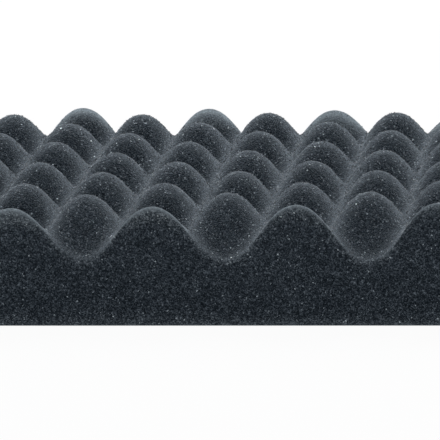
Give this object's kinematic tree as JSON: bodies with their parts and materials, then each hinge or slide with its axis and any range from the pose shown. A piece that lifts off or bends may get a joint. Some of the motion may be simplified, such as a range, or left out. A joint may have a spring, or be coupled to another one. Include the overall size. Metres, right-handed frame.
{
  "type": "acoustic foam panel",
  "caption": "Square sound-absorbing foam tile with a convoluted egg-crate face, a flat glue-on back and straight cut sides that butt against the next tile.",
  "frame": {"origin": "centre of the flat back", "axes": "+Z out of the back towards the tips of the peaks; X and Y along the cut sides, with the side seen in front facing -Y"},
  "size_m": [0.3, 0.3, 0.05],
  "materials": {
    "foam": "matte"
  },
  "bodies": {
    "root": {"foam_panel": "foam"}
  },
  "joints": []
}
